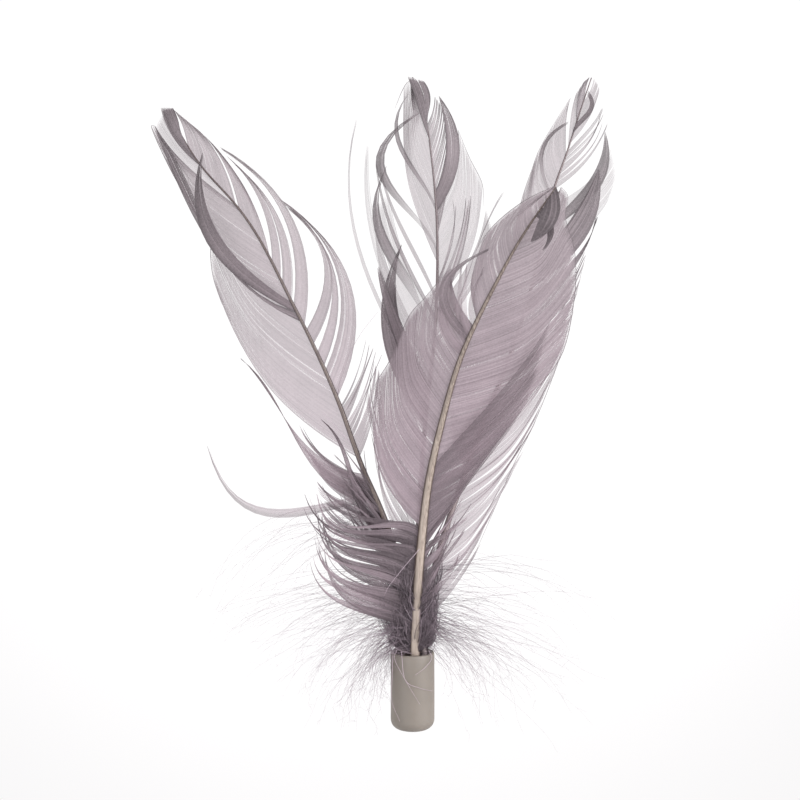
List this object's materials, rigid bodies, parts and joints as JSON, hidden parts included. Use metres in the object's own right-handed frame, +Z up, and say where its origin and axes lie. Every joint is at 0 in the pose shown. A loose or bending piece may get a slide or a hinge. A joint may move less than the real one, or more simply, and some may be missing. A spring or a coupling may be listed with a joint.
{
  "type": "goose quill feather bunch",
  "caption": "Dyed goose quill feathers fanned out of a short soft sleeve, lying flat, with curved shafts, split see-through vanes and loose down round the sleeve's mouth.",
  "frame": {"origin": "on the surface that the bunch lies on, under the middle of its box", "axes": "+Y from the sleeve's closed end towards the feather tips, +Z up from the surface, +X to the right of one who looks down with the tips away"},
  "size_m": [0.1054, 0.148, 0.0336],
  "materials": {
    "front_vane": "dyed barbs, soft sheen",
    "pale_vane": "thin dyed barbs, soft sheen",
    "shaft": "smooth horn",
    "down": "loose fluff",
    "sleeve": "soft, satin"
  },
  "bodies": {
    "root": {"quill_feather_front": "front_vane", "quill_feather_left": "pale_vane", "quill_feather_middle": "pale_vane", "quill_feather_right": "pale_vane", "sleeve": "sleeve"}
  },
  "joints": []
}
